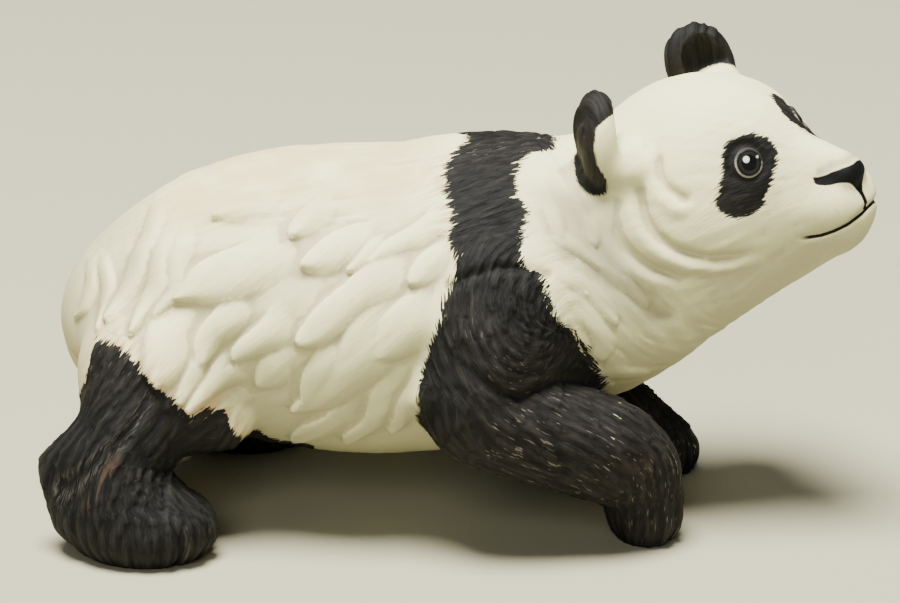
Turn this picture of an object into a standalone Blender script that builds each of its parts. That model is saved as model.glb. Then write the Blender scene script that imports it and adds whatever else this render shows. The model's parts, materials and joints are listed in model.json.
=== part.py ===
"""A walking panda cub with its head turned and raised, slip-cast in one piece of bisque porcelain.

The figure is melted together from eggs and limbs, as a modeller builds it up in clay. Blender's voxel
remesh makes one skin of them, and the skin is then drawn onto the blended form and carved.
"""

import math

import bmesh
import bpy
import numpy as np
from mathutils import Euler, Matrix, Vector

# Driving sizes, in metres
figure_length = 0.1833
skin_voxel = 0.0012
skin_triangles = 9600

# The pose is drawn as shares of the figure's length, in units that are millimetres at the design size.
# +X is the way the cub walks, +Y is its left side and +Z is up from the floor. box_middle is the middle
# of the finished figure seen from above, which becomes the origin.
pose_length = 183.3
unit = figure_length / pose_length
box_middle = (1.5, -0.8)

# The head is modelled level, facing +X, and is then turned as a whole.
head_centre = (57.0, 0.0, 76.7)
head_yaw = -33.5
head_pitch = 14.4
head_roll = 9.7

masses = []


def head_matrix():
    """Level head to the turned and raised head: roll, then pitch, then yaw, then its place."""
    yaw = Matrix.Rotation(math.radians(head_yaw), 4, "Z")
    pitch = Matrix.Rotation(math.radians(-head_pitch), 4, "Y")
    roll = Matrix.Rotation(math.radians(head_roll), 4, "X")
    return Matrix.Translation(head_centre) @ yaw @ pitch @ roll


def egg(centre, radii, turn=(0, 0, 0), melt=4.0, frame=None):
    """An ellipsoid of clay. turn is degrees about X, Y and Z; melt is how far it blends into the rest."""
    matrix = Matrix.Translation(centre) @ Euler([math.radians(a) for a in turn]).to_matrix().to_4x4()
    matrix = (frame or Matrix.Identity(4)) @ matrix
    masses.append({"kind": "egg", "matrix": matrix, "radii": radii, "melt": melt, "scoop": None})


def scoop(centre, radii, frame):
    """Hollow out the egg that was made last, before it joins the rest."""
    masses[-1]["scoop"] = {"kind": "egg", "matrix": frame @ Matrix.Translation(centre), "radii": radii}


def limb(path, widen=1.0, melt=4.0, frame=None):
    """A rounded rod of clay through (x, y, z, radius) points. widen stretches its section sideways, along Y."""
    frame = frame or Matrix.Identity(4)
    points = [np.array([*(frame @ Vector(p[:3])), p[3]]) for p in path]
    path = smooth_path(points)
    masses.append({"kind": "limb", "path": path, "widen": widen, "melt": melt, "scoop": None})


def smooth_path(points, steps=4):
    """Catmull-Rom spline through the points, radius included."""
    ends = [2 * points[0] - points[1], *points, 2 * points[-1] - points[-2]]
    found = []
    for a, b, c, d in zip(ends, ends[1:], ends[2:], ends[3:]):
        for t in np.arange(steps) / steps:
            found.append(
                0.5 * (2 * b + (c - a) * t + (2 * a - 5 * b + 4 * c - d) * t**2 + (3 * b - a - 3 * c + d) * t**3)
            )
    return np.array([*found, points[-1]])


def build_trunk():
    limb(
        [
            (-66.5, 0, 43.6, 21.4),
            (-56, 0, 45.6, 26.8),
            (-43, 0, 48.2, 31.2),
            (-31, 0, 48.0, 33.6),
            (-19, 0, 47.5, 34.6),
            (-7, 0, 47.9, 34.7),
            (3, 0, 49.6, 34.6),
            (11, 0, 51.0, 33.0),
            (19, 0, 53.8, 29.2),
        ],
        widen=1.10,
    )
    egg((33, -2, 49.5), (22.5, 25, 22.5), melt=7)
    limb([(16, 0, 56.4, 25.4), (30, -2, 59.4, 22.8), (42, -2, 66.4, 22.0)], melt=8)
    egg((-82.4, 0, 45.4), (4.2, 8, 10), turn=(0, 8, 0), melt=1.5)


def build_legs():
    # The right hind leg pushes off behind, with its heel raised.
    egg((-62, -22, 36), (19, 15, 17), turn=(0, 30, 0), melt=5)
    limb([(-68, -24, 38, 12.5), (-69, -30, 28, 12), (-72.5, -33.5, 19.5, 11.5), (-71, -35.5, 11, 12.5)], melt=4)
    limb([(-62, -28, 32, 9), (-50, -27, 27, 6)], melt=4)
    limb([(-76, -32, 20, 8.5), (-85.6, -32, 18.6, 4.6), (-80.5, -34.5, 9, 6.8)], melt=5)
    egg((-66.5, -36.5, 6.6), (16.0, 13, 9.8), turn=(0, 0, -12), melt=3)
    # The left hind leg is stepping forward under the belly.
    egg((-52, 22, 36), (20, 15, 17), turn=(0, 20, 0), melt=5)
    limb([(-52, 24, 34, 12.5), (-54, 30, 24, 12), (-59, 34, 15, 11), (-58, 35, 10, 11)], melt=4)
    egg((-47.5, 36, 6.2), (15.5, 12, 9), turn=(0, 0, 8), melt=3)
    # The right arm reaches forward, its paw turned in.
    egg((10, -26, 49), (17, 14, 20), melt=5)
    limb(
        [
            (8, -30, 44, 15),
            (6, -34.5, 33.5, 12.4),
            (18, -35, 27.8, 11.2),
            (32, -31.5, 22.8, 11.6),
            (40.6, -28.5, 16.5, 10.0),
            (43.2, -27, 8, 7.8),
        ],
        melt=4,
    )
    egg((43, -26.5, 5.4), (6.8, 8.6, 8), turn=(0, 0, 20), melt=5)
    # The left arm is planted a little further on.
    egg((14, 26, 47), (16, 13, 19), melt=5)
    limb([(12, 28, 42, 14), (15, 30, 29, 12), (28, 24, 18.5, 10.5), (42, 19, 12, 8.6), (50, 17, 6, 7)], melt=4)
    egg((50, 17, 4.6), (7.4, 8.4, 6.8), melt=5)


def build_head():
    head = head_matrix()
    # skull, brow and cheeks
    egg((-1.8, 0, 3.4), (24.2, 23.5, 18.6), frame=head, melt=5)
    egg((6.8, -2, 5.6), (14.6, 17.5, 12.2), frame=head, melt=6)
    for side in (-1, 1):
        egg((0, side * 12.5, -5.5), (20, 14.5, 16), frame=head, melt=6)
    # a broad muzzle that tapers straight from the cheeks to the nose
    limb([(8, 0, -3.5, 17.5), (19, 0, -7, 13.4), (28, 0, -9.4, 9.4), (32, 0, -10.4, 6.8)], frame=head, melt=5)
    limb([(10, -2.8, 7, 11), (23, -2.2, 1.2, 6.2), (33, -0.6, -2.4, 3.6)], frame=head, melt=5)
    limb([(2, 0, -7.4, 16), (16, 0, -10.2, 11.4), (28.3, 0, -14.9, 6.7)], frame=head, melt=6)
    for side in (-1, 1):
        egg((29.5, side * 4.2, -9.6), (7.4, 5.8, 6.2), frame=head, melt=2)
    egg((35.4, -0.8, -3.8), (3.2, 4.6, 3.4), frame=head, melt=1.5)
    # the eyes, either side of a bridge that is turned a little to the right
    egg((17.4, -12.3, 5.6), (3.4, 3.4, 3.4), frame=head, melt=1)
    egg((18.8, 6.2, 6.8), (3.4, 3.4, 3.4), frame=head, melt=1)
    ear(-1, 17, -1.8, (5.4, 8.7, 10.6), head)
    ear(1, 3, -0.8, (5.4, 8.2, 9.9), head)
    # throat, from the chin back to the chest
    limb([(82, -6, 67.5, 5.6), (72, -6, 64.6, 10.8), (61, -5, 60.9, 15.0), (48, -4, 55.5, 18)], melt=9)


def ear(side, lean, back, radii, head):
    """A cupped ear, open towards the front and turned a little inwards, with a tuft of fur in its foot."""
    frame = head @ Matrix.Translation((-8.5, side * 22.6, 17.4))
    frame = frame @ Matrix.Rotation(math.radians(-side * 38), 4, "Z")
    frame = frame @ Matrix.Rotation(math.radians(side * 12), 4, "X")
    frame = frame @ Matrix.Rotation(math.radians(lean), 4, "Y")
    egg((back, side * 1.5, 0.4), radii, frame=frame, melt=1.5)
    scoop((back + 7.2, side * 1.5, 1.8), (6.2, radii[1] - 1.9, radii[2] - 1.7), frame)
    egg((4.2, side * 0.6, -6), (5.6, 6.6, 5.8), frame=frame, melt=3)


def reach_of(mass):
    """A ball that holds the mass: centre and radius."""
    if mass["kind"] == "egg":
        return np.array(mass["matrix"].translation), max(mass["radii"])
    path = mass["path"]
    centre = path[:, :3].mean(axis=0)
    return centre, (np.linalg.norm(path[:, :3] - centre, axis=1) + path[:, 3] * mass["widen"]).max()


def distance(mass, points):
    """How far the points lie outside one mass, negative inside. Far points only get the gap to its ball."""
    if "ball" not in mass:
        mass["ball"] = reach_of(mass)
    centre, size = mass["ball"]
    found = np.linalg.norm(points - centre, axis=1) - size
    near = found < 10
    if near.any():
        found[near] = exact_distance(mass, points[near])
    return found


def exact_distance(mass, points):
    if mass["kind"] == "egg":
        back = np.array(mass["matrix"].inverted())
        local = points @ back[:3, :3].T + back[:3, 3]
        radii = np.array(mass["radii"], float)
        near = np.linalg.norm(local / radii, axis=1)
        slope = np.linalg.norm(local / radii**2, axis=1)
        return near * (near - 1) / np.maximum(slope, 1e-9)
    path, squeeze = mass["path"], np.array([1, 1 / mass["widen"], 1])
    least = np.full(len(points), np.inf)
    for a, b in zip(path, path[1:]):
        run = (b[:3] - a[:3]) * squeeze
        offset = (points - a[:3]) * squeeze
        along = np.clip(offset @ run / max(run @ run, 1e-9), 0, 1)
        gap = np.linalg.norm(offset - along[:, None] * run, axis=1)
        least = np.minimum(least, gap - (a[3] + along * (b[3] - a[3])))
    return least


def melted(points):
    """The blended field: each mass joined to the ones before it with a rounded seam, then cut flat at the floor."""
    field = None
    for mass in masses:
        other, reach = distance(mass, points), mass["melt"]
        if mass["scoop"]:
            other = np.maximum(other, -distance(mass["scoop"], points))
        if field is None:
            field = other
            continue
        overlap = np.maximum(reach - np.abs(field - other), 0) / reach
        field = np.minimum(field, other) - overlap**2 * reach / 4
    return np.maximum(field, -points[:, 2])


def slope_of(points, step=0.05):
    """Gradient of the field by differences at the four corners of a small tetrahedron."""
    corners = np.array([(1, -1, -1), (-1, -1, 1), (-1, 1, -1), (1, 1, 1)], float)
    return sum(c * melted(points + c * step)[:, None] for c in corners) / (4 * step)


def drawn_on(points, rounds=3):
    """The points moved onto the surface where the field is zero."""
    for _ in range(rounds):
        slope = slope_of(points)
        size = np.maximum((slope**2).sum(axis=1), 0.05)
        shift = np.clip(melted(points) / size, -2, 2)
        points = points - shift[:, None] * slope
    return points


# Locks of fur as the flank shows them: along the body and down from the spine at the root, the same at
# the tip, and the width at the widest. The left side carries the same locks, moved along by far_shift.
rise = 1.25
far_shift = (4.0, 3.0)
flank_locks = [
    (-81, 13, -83, 57, 3.6),
    (-79, 17, -77, 55, 3.6),
    (-64, 5, -75, 52, 6.5),
    (-61, 17, -69, 54, 6.5),
    (-57, 22, -64, 50, 6.0),
    (-36, 30, -61, 46, 11.8),
    (-36, 18, -50, 24, 6.8),
    (-25, 22, -35, 30, 6.8),
    (-17, 30, -34, 37, 7.7),
    (-14, 32, -23, 39, 5.4),
    (-2, 24, -18, 38, 6.8),
    (-6, 32, -32, 53, 11.8),
    (0, 30, -8, 42, 6.3),
    (-1, 42, -17, 58, 9.9),
    (-10, 42, -36, 72, 10.8),
    (-23, 50, -34, 69, 7.7),
    (-34, 46, -45, 61, 7.7),
    (-33, 53, -43, 67, 5.0),
    (-42, 58, -57, 69, 7.7),
    (-58, 48, -63, 64, 12.7),
    (-52, 56, -58, 67, 5.4),
    (-46, 43, -53, 61, 9.0),
    (-23, 68, -34, 87, 6.8),
    (-14, 64, -21, 82, 6.8),
    (-7, 60, -12, 79, 6.8),
]
neck_locks = [
    (28, 22, 34, 32, 3.4),
    (23, 29, 33, 37, 4.0),
    (30, 33, 42, 47, 4.4),
    (22, 38, 36, 52, 4.8),
    (26, 43, 35, 65, 6.6),
    (19, 22, 26, 31, 4.0),
]

# Creases on the right side, as (along, down) points, with a depth and a width: the shoulder's top edge, the
# bend of the elbow, the valley behind the cheek and the fold of the hind leg.
creases = [
    ([(0, 42), (3, 40), (10, 38), (16, 38), (21, 39)], 0.8, 1.2),
    ([(3, 57), (10, 61), (19, 66), (23, 71), (25, 75)], 0.8, 1.2),
    ([(26, 13), (27.5, 20), (30, 26), (33, 32), (37, 38), (42, 44), (46, 50)], 1.7, 3.2),
    ([(-64, 65), (-69, 70.5), (-77.5, 75), (-85, 81)], 0.6, 1.0),
]

# Rolls of skin round the cheek, in the head's own x and z: centre, radius, first and last angle, depth
cheek_rolls = [
    ((18.5, 5.5), 19.0, 172, 268, 1.1),
    ((18.5, 5.5), 24.5, 178, 238, 1.1),
    ((14.0, 12.0), 10.8, 172, 250, 0.9),
]
# The groove round each eye runs on a ball about this middle
eye_rings = [(18.3, -13, 5.3), (19.5, 6.9, 6.8)]
# Toe grooves: the middle of each foot, its heading, how far out the grooves start, and their angles
toe_angles = (-42, -14, 14, 42)
feet = [((-65.8, -36.5), -12, 8.5), ((-47.5, 36), 8, 8.0), ((42.5, -26.5), 5, 4.0), ((48.5, 17), 0, 4.0)]
mouth_line = [(38.6, -10.6), (37.2, -12.2), (34.9, -13.5), (31.7, -14.3), (29.1, -14.7), (27.0, -14.0)]


def unrolled(points):
    """Along the body, and down from the spine round either side, in pose units."""
    down = 35 * np.arctan2(np.abs(points[:, 1]) / 1.1, points[:, 2] - 48)
    return points[:, 0], down


def wavered(along, down):
    """The same place with a slow sway added, so that no two locks run quite alike."""
    swayed = along + 1.4 * np.sin(down / 5.3 + along / 17) + 0.7 * np.sin(down / 2.7 - along / 8)
    return swayed, down + 1.2 * np.sin(along / 6.1 - down / 19) + 0.6 * np.sin(along / 3.3 + down / 7)


def lock(along, down, shape, height):
    """One flame-shaped lock: it swells from its root to a blunt tip. Its lower side is crisp, its upper side soft."""
    s0, t0, s1, t1, width = shape
    length = math.hypot(s1 - s0, t1 - t0)
    run = ((along - s0) * (s1 - s0) + (down - t0) * (t1 - t0)) / length**2
    across = ((along - s0) * (t1 - t0) - (down - t0) * (s1 - s0)) / length
    inside = (run > -0.1) & (run < 1)
    share = np.clip(run, 0, 1)
    across = across - 0.08 * length * 4 * share * (1 - share)
    half = width / 2 * 1.9 * (share + 0.12) ** 0.4 * (1 - share) ** 0.5
    side = across / np.maximum(half, 0.01)
    round_top = np.maximum(1 - side**2, 0) ** np.where(side < 0, 0.5, 1.8)
    swell = np.clip((run + 0.1) / 0.6, 0, 1)
    return np.where(inside, height * round_top * swell * swell * (3 - 2 * swell), 0)


def near_line(x, y, line):
    """Distance in a plane from a line of straight pieces."""
    least = np.full(len(x), np.inf)
    for (x0, y0), (x1, y1) in zip(line, line[1:]):
        share = np.clip(((x - x0) * (x1 - x0) + (y - y0) * (y1 - y0)) / ((x1 - x0) ** 2 + (y1 - y0) ** 2), 0, 1)
        least = np.minimum(least, np.hypot(x - x0 - share * (x1 - x0), y - y0 - share * (y1 - y0)))
    return least


def relief(points):
    """How far the carving stands out of the plain form, in pose units."""
    along, down = unrolled(points)
    swayed, sunk = wavered(along, down)
    right = points[:, 1] < 0
    locks = np.zeros(len(points))
    for shape in flank_locks:
        size = rise * min(shape[4] / 7, 1.15)
        near = lock(swayed, sunk, shape, size)
        far = lock(swayed - far_shift[0], sunk - far_shift[1], shape, size)
        locks = np.maximum(locks, np.where(right, near, far))
    for shape in neck_locks:
        locks = np.maximum(locks, lock(swayed, sunk, shape, 0.8))
    cut = np.zeros(len(points))
    for line, depth, width in creases:
        cut += np.where(right, depth * np.exp(-((near_line(along, down, line) / width) ** 2)), 0)
    back = np.array(head_matrix().inverted())
    x, y, z = (points @ back[:3, :3].T + back[:3, 3]).T
    beside = np.clip((np.abs(y) - 8) / 5, 0, 1)
    for (cx, cz), radius, first, last, depth in cheek_rolls:
        gap = np.hypot(x - cx, z - cz) - radius
        angle = np.degrees(np.arctan2(z - cz, x - cx)) % 360
        fade = np.clip((angle - first) / 14, 0, 1) * np.clip((last - angle) / 14, 0, 1) * beside
        cut += fade * depth * (np.exp(-((gap / 1.1) ** 2)) - 0.8 * np.exp(-(((gap - 2.6) / 1.6) ** 2)))
    for middle in eye_rings:
        gap = np.linalg.norm(np.stack([x, y, z], axis=1) - middle, axis=1) - 4.4
        cut += 0.5 * np.exp(-((gap / 0.8) ** 2))
    front = np.clip((x - 24) / 3, 0, 1)
    cut += 0.7 * front * np.exp(-((near_line(x, z, mouth_line) / 0.7) ** 2))
    for (fx, fy), heading, start in feet:
        dx, dy = points[:, 0] - fx, points[:, 1] - fy
        out = np.hypot(dx, dy)
        bearing = np.degrees(np.arctan2(dy, dx)) - heading
        low = np.clip((out - start) / 2, 0, 1) * np.clip((11 - points[:, 2]) / 4, 0, 1) * (out < 24)
        for angle in toe_angles:
            cut += 0.9 * low * np.exp(-((np.radians(bearing - angle) * out / 1.0) ** 2))
    return locks - cut


def rough_clay():
    """All the masses as overlapping closed spheres in one mesh, in pose units."""
    clay = bmesh.new()
    for mass in masses:
        if mass["kind"] == "egg":
            matrix = mass["matrix"] @ Matrix.Diagonal((*mass["radii"], 1))
            bmesh.ops.create_icosphere(clay, subdivisions=4, radius=1, matrix=matrix)
            continue
        for x, y, z, radius in mass["path"]:
            matrix = Matrix.Translation((x, y, z)) @ Matrix.Diagonal((radius, radius * mass["widen"], radius, 1))
            bmesh.ops.create_icosphere(clay, subdivisions=4, radius=1, matrix=matrix)
    mesh = bpy.data.meshes.new("clay")
    clay.to_mesh(mesh)
    clay.free()
    return mesh


def remeshed(mesh, voxel):
    """The mesh's outer skin as even quads, by Blender's voxel remesh."""
    thing = bpy.data.objects.new("clay", mesh)
    bpy.context.scene.collection.objects.link(thing)
    skin = thing.modifiers.new("skin", "REMESH")
    skin.mode = "VOXEL"
    skin.voxel_size = voxel
    graph = bpy.context.evaluated_depsgraph_get()
    made = bpy.data.meshes.new_from_object(thing.evaluated_get(graph))
    bpy.data.objects.remove(thing)
    bpy.data.meshes.remove(mesh)
    return made


def points_of(mesh):
    found = np.empty(len(mesh.vertices) * 3)
    mesh.vertices.foreach_get("co", found)
    return found.reshape(-1, 3)


def thinned(mesh, triangles):
    """The mesh with its flattest edges folded away until it has this many triangles."""
    mesh.calc_loop_triangles()
    thing = bpy.data.objects.new("clay", mesh)
    bpy.context.scene.collection.objects.link(thing)
    fewer = thing.modifiers.new("fewer", "DECIMATE")
    fewer.ratio = triangles / len(mesh.loop_triangles)
    graph = bpy.context.evaluated_depsgraph_get()
    made = bpy.data.meshes.new_from_object(thing.evaluated_get(graph))
    bpy.data.objects.remove(thing)
    bpy.data.meshes.remove(mesh)
    return made


def porcelain():
    material = bpy.data.materials.new("bisque_porcelain")
    material.use_nodes = True
    shader = material.node_tree.nodes["Principled BSDF"]
    shader.inputs["Base Color"].default_value = (0.83, 0.79, 0.68, 1)
    shader.inputs["Roughness"].default_value = 0.6
    return material


def main():
    for thing in list(bpy.data.objects):
        bpy.data.objects.remove(thing)
    build_trunk()
    build_legs()
    build_head()
    mesh = rough_clay()
    for _ in range(2):
        mesh = remeshed(mesh, skin_voxel / unit)
        mesh.vertices.foreach_set("co", drawn_on(points_of(mesh)).ravel())
        mesh.update()
    points = points_of(mesh)
    slope = slope_of(points)
    slope /= np.linalg.norm(slope, axis=1, keepdims=True)
    points += slope * relief(points)[:, None]
    points[:, 2] = np.maximum(points[:, 2], 0)
    mesh.vertices.foreach_set("co", points.ravel())
    mesh.update()
    mesh = thinned(mesh, skin_triangles)
    points = points_of(mesh)
    points[points[:, 2] < 0.2, 2] = 0
    points[:, :2] -= box_middle
    mesh.vertices.foreach_set("co", (points * unit).ravel())
    mesh.update()
    mesh.materials.append(porcelain())
    mesh.name = "panda_figurine"
    figure = bpy.data.objects.new("panda_figurine", mesh)
    shelf = bpy.data.collections.new("panda")
    bpy.context.scene.collection.children.link(shelf)
    shelf.objects.link(figure)


main()
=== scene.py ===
import math

import bpy
import numpy as np
from mathutils import Euler, Matrix, Vector
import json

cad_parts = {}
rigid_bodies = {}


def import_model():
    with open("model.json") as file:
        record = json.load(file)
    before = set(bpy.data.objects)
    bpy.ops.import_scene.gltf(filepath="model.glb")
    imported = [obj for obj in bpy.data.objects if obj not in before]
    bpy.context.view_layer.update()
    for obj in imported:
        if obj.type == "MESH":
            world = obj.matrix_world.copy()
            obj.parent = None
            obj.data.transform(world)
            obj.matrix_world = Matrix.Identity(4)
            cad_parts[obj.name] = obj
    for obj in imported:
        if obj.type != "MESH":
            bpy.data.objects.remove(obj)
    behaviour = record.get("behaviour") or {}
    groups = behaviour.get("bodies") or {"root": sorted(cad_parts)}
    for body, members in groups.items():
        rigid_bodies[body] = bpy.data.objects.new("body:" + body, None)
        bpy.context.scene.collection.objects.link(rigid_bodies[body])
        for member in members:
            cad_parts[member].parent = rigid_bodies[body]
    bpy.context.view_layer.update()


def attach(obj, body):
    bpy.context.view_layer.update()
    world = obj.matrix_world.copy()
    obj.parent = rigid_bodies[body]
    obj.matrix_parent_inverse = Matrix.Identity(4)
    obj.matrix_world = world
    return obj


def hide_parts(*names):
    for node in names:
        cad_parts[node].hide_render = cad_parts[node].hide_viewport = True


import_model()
print("frame in place")

# The clay body: the same eggs and limbs as the solid, skinned finer.
body = {
    "coarseVoxel": 1.2,
    "fineVoxel": 0.55,
    "triangles": 190000,
    "press": 0.06,             # what lies lower than this is set on the floor
    "middle": (1.5, -0.8),     # what the solid's own frame takes off x and y
    "headCentre": (57.0, 0.0, 76.7),
    "headTurns": [(-33.5, "Z"), (-14.4, "Y"), (9.7, "X")],     # to the right, upwards, and tilted
    # the ears, right -1 and left 1: their foot on the level head, their turn about Z and X, their lean
    # forward, the egg's middle out and up, how far ahead of the foot it is with its radii, and its tuft
    "earFoot": (-8.5, 22.6, 17.4),
    "earTurn": (38, 12),
    "earLean": {-1: 17, 1: 3},
    "earMiddle": (1.5, 0.4),
    "ears": {-1: (-1.8, (5.4, 8.7, 10.6)), 1: (-0.8, (5.4, 8.2, 9.9))},
    "earTuft": ((4.2, 0.6, -6), (5.6, 6.6, 5.8)),
}
lumps = []


def turned(degrees, axis):
    # a turn about one axis
    return Matrix.Rotation(math.radians(degrees), 4, axis)


def headMatrix():
    # from the level head to the real one: roll, pitch, yaw, then its place
    yaw, pitch, roll = (turned(*given) for given in body["headTurns"])
    return Matrix.Translation(body["headCentre"]) @ yaw @ pitch @ roll


head = headMatrix()
level = np.array(head.inverted())


def egg(centre, radii, turn=(0, 0, 0), melt=4.0, held=None):
    # an ellipsoid in the frame that holds it, and how softly it melts into the rest, in mm
    matrix = Matrix.Translation(centre) @ Euler([math.radians(a) for a in turn]).to_matrix().to_4x4()
    matrix = (held or Matrix.Identity(4)) @ matrix
    lumps.append({"matrix": matrix, "radii": np.array(radii, float), "melt": melt, "scoop": None})


def scoop(centre, radii, held):
    # an ellipsoid taken out of the last egg
    lumps[-1]["scoop"] = {"matrix": held @ Matrix.Translation(centre), "radii": np.array(radii, float)}


def limb(path, widen=1.0, melt=4.0, held=None):
    # a row of round cones along a smooth path of (x, y, z, radius), widened along y
    held = held or Matrix.Identity(4)
    points = np.array([[*(held @ Vector(p[:3])), p[3]] for p in path])
    lumps.append({"path": smoothPath(points), "widen": widen, "melt": melt, "scoop": None})


def smoothPath(points, steps=4):
    # Catmull-Rom: p(t) = (2b + (c-a)t + (2a-5b+4c-d)t^2 + (3b-a-3c+d)t^3) / 2 between b and c
    ends = np.vstack([2 * points[0] - points[1], points, 2 * points[-1] - points[-2]])
    a, b, c, d = (ends[i : len(ends) - 3 + i, None, :] for i in range(4))
    t = (np.arange(steps) / steps)[None, :, None]
    line = 0.5 * (2 * b + (c - a) * t + (2 * a - 5 * b + 4 * c - d) * t**2 + (3 * b - a - 3 * c + d) * t**3)
    return np.vstack([line.reshape(-1, points.shape[1]), points[-1]])


def shapeTrunk():
    # the barrel, the shoulders, the neck and the tail
    spine = [(-66.5, 43.6, 21.4), (-56, 45.6, 26.8), (-43, 48.2, 31.2), (-31, 48.0, 33.6), (-19, 47.5, 34.6)]
    spine += [(-7, 47.9, 34.7), (3, 49.6, 34.6), (11, 51.0, 33.0), (19, 53.8, 29.2)]
    limb([(x, 0, z, r) for x, z, r in spine], widen=1.10)
    egg((33, -2, 49.5), (22.5, 25, 22.5), melt=7)
    limb([(16, 0, 56.4, 25.4), (30, -2, 59.4, 22.8), (42, -2, 66.4, 22.0)], melt=8)
    egg((-82.4, 0, 45.4), (4.2, 8, 10), turn=(0, 8, 0), melt=1.5)


def shapeLegs():
    # for each leg the thigh or shoulder, the limb and the foot, the right side first
    egg((-62, -22, 36), (19, 15, 17), turn=(0, 30, 0), melt=5)
    limb([(-68, -24, 38, 12.5), (-69, -30, 28, 12), (-72.5, -33.5, 19.5, 11.5), (-71, -35.5, 11, 12.5)])
    limb([(-62, -28, 32, 9), (-50, -27, 27, 6)])
    limb([(-76, -32, 20, 8.5), (-85.6, -32, 18.6, 4.6), (-80.5, -34.5, 9, 6.8)], melt=5)
    egg((-66.5, -36.5, 6.6), (16.0, 13, 9.8), turn=(0, 0, -12), melt=3)
    egg((-52, 22, 36), (20, 15, 17), turn=(0, 20, 0), melt=5)
    limb([(-52, 24, 34, 12.5), (-54, 30, 24, 12), (-59, 34, 15, 11), (-58, 35, 10, 11)])
    egg((-47.5, 36, 6.2), (15.5, 12, 9), turn=(0, 0, 8), melt=3)
    egg((10, -26, 49), (17, 14, 20), melt=5)
    arm = [(8, -30, 44, 15), (6, -34.5, 33.5, 12.4), (18, -35, 27.8, 11.2), (32, -31.5, 22.8, 11.6)]
    limb(arm + [(40.6, -28.5, 16.5, 10.0), (43.2, -27, 8, 7.8)])
    egg((43, -26.5, 5.4), (6.8, 8.6, 8), turn=(0, 0, 20), melt=5)
    egg((14, 26, 47), (16, 13, 19), melt=5)
    limb([(12, 28, 42, 14), (15, 30, 29, 12), (28, 24, 18.5, 10.5), (42, 19, 12, 8.6), (50, 17, 6, 7)])
    egg((50, 17, 4.6), (7.4, 8.4, 6.8), melt=5)


def shapeHead():
    # skull, brow, cheeks, muzzle, bridge, jaw, lips, nose, eyes, ears and throat
    egg((-1.8, 0, 3.4), (24.2, 23.5, 18.6), held=head, melt=5)
    egg((6.8, -2, 5.6), (14.6, 17.5, 12.2), held=head, melt=6)
    for side in (-1, 1):
        egg((0, side * 12.5, -5.5), (20, 14.5, 16), held=head, melt=6)
    limb([(8, 0, -3.5, 17.5), (19, 0, -7, 13.4), (28, 0, -9.4, 9.4), (32, 0, -10.4, 6.8)], held=head, melt=5)
    limb([(10, -2.8, 7, 11), (23, -2.2, 1.2, 6.2), (33, -0.6, -2.4, 3.6)], held=head, melt=5)
    limb([(2, 0, -7.4, 16), (16, 0, -10.2, 11.4), (28.3, 0, -14.9, 6.7)], held=head, melt=6)
    for side in (-1, 1):
        egg((29.5, side * 4.2, -9.6), (7.4, 5.8, 6.2), held=head, melt=2)
    egg((35.4, -0.8, -3.8), (3.2, 4.6, 3.4), held=head, melt=1.5)
    egg((17.4, -12.3, 5.6), (3.4, 3.4, 3.4), held=head, melt=1)
    egg((18.8, 6.2, 6.8), (3.4, 3.4, 3.4), held=head, melt=1)
    shapeEar(-1)
    shapeEar(1)
    limb([(82, -6, 67.5, 5.6), (72, -6, 64.6, 10.8), (61, -5, 60.9, 15.0), (48, -4, 55.5, 18)], melt=9)


def earFrame(side):
    # the head's frame moved to the ear's foot, then turned about Z, X and Y
    ahead, out, up = body["earFoot"]
    turn = turned(-side * body["earTurn"][0], "Z") @ turned(side * body["earTurn"][1], "X")
    return head @ Matrix.Translation((ahead, side * out, up)) @ turn @ turned(body["earLean"][side], "Y")


def shapeEar(side):
    # a cupped egg with a tuft of fur in its foot
    held = earFrame(side)
    ahead, radii = body["ears"][side]
    out, up = body["earMiddle"]
    (tuftX, tuftY, tuftZ), tuftRadii = body["earTuft"]
    egg((ahead, side * out, up), radii, held=held, melt=1.5)
    scoop((ahead + 7.2, side * out, 1.8), (6.2, radii[1] - 1.9, radii[2] - 1.7), held)
    egg((tuftX, side * tuftY, tuftZ), tuftRadii, held=held, melt=3)


def eggGap(lump, points):
    # distance to an ellipsoid: k(k-1)/|p/r^2| with k = |p/r|
    back = np.array(lump["matrix"].inverted())
    local = points @ back[:3, :3].T + back[:3, 3]
    near = np.linalg.norm(local / lump["radii"], axis=1)
    slope = np.linalg.norm(local / lump["radii"] ** 2, axis=1)
    return near * (near - 1) / np.maximum(slope, 1e-9)


def limbGap(lump, points):
    # least distance to a row of cones: |p - a - s(b-a)| - (ra + s(rb-ra)), s clipped to 0..1
    squeeze = np.array([1, 1 / lump["widen"], 1])
    least = np.full(len(points), np.inf)
    for a, b in zip(lump["path"], lump["path"][1:]):
        run = (b[:3] - a[:3]) * squeeze
        offset = (points - a[:3]) * squeeze
        along = np.clip(offset @ run / max(run @ run, 1e-9), 0, 1)
        gap = np.linalg.norm(offset - along[:, None] * run, axis=1)
        least = np.minimum(least, gap - (a[3] + along * (b[3] - a[3])))
    return least


def lumpGap(lump, points):
    # the exact gap within 10 mm of the lump's own ball, and beyond that the gap to the ball
    if "ball" not in lump:
        if "path" in lump:
            centre = lump["path"][:, :3].mean(axis=0)
            reach = np.linalg.norm(lump["path"][:, :3] - centre, axis=1) + lump["path"][:, 3] * lump["widen"]
            lump["ball"] = centre, reach.max()
        else:
            lump["ball"] = np.array(lump["matrix"].translation), max(lump["radii"])
    centre, size = lump["ball"]
    found = np.linalg.norm(points - centre, axis=1) - size
    near = found < 10
    if near.any():
        exact = limbGap if "path" in lump else eggGap
        found[near] = exact(lump, points[near])
    return found


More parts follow.
